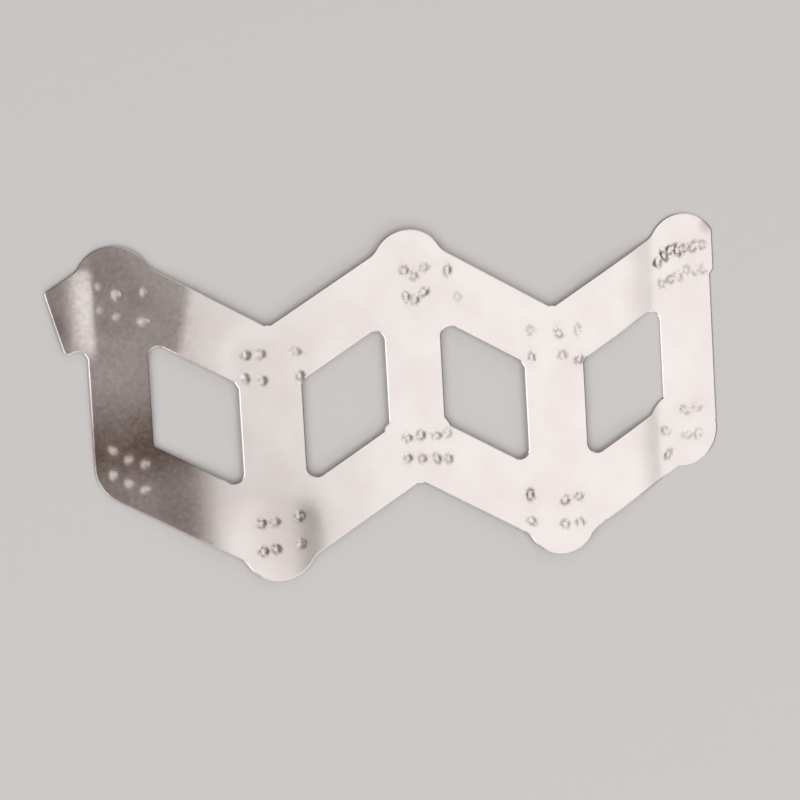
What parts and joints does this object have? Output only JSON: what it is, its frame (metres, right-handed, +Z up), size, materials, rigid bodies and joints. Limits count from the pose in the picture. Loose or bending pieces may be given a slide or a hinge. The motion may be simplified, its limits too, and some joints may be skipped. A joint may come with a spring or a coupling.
{
  "type": "nickel strip",
  "caption": "Zigzag ladder of thin nickel sheet with round weld pads, for joining two staggered rows of round battery cells.",
  "frame": {"origin": "middle of the middle leg, on its underside", "axes": "+X along the strip, away from the rail stub; +Y across it, towards the row that carries the stub; +Z up out of the sheet"},
  "size_m": [0.0748, 0.0368, 0.0008],
  "materials": {
    "nickel": "satin"
  },
  "bodies": {
    "root": {"nickel_strip": "nickel"}
  },
  "joints": []
}
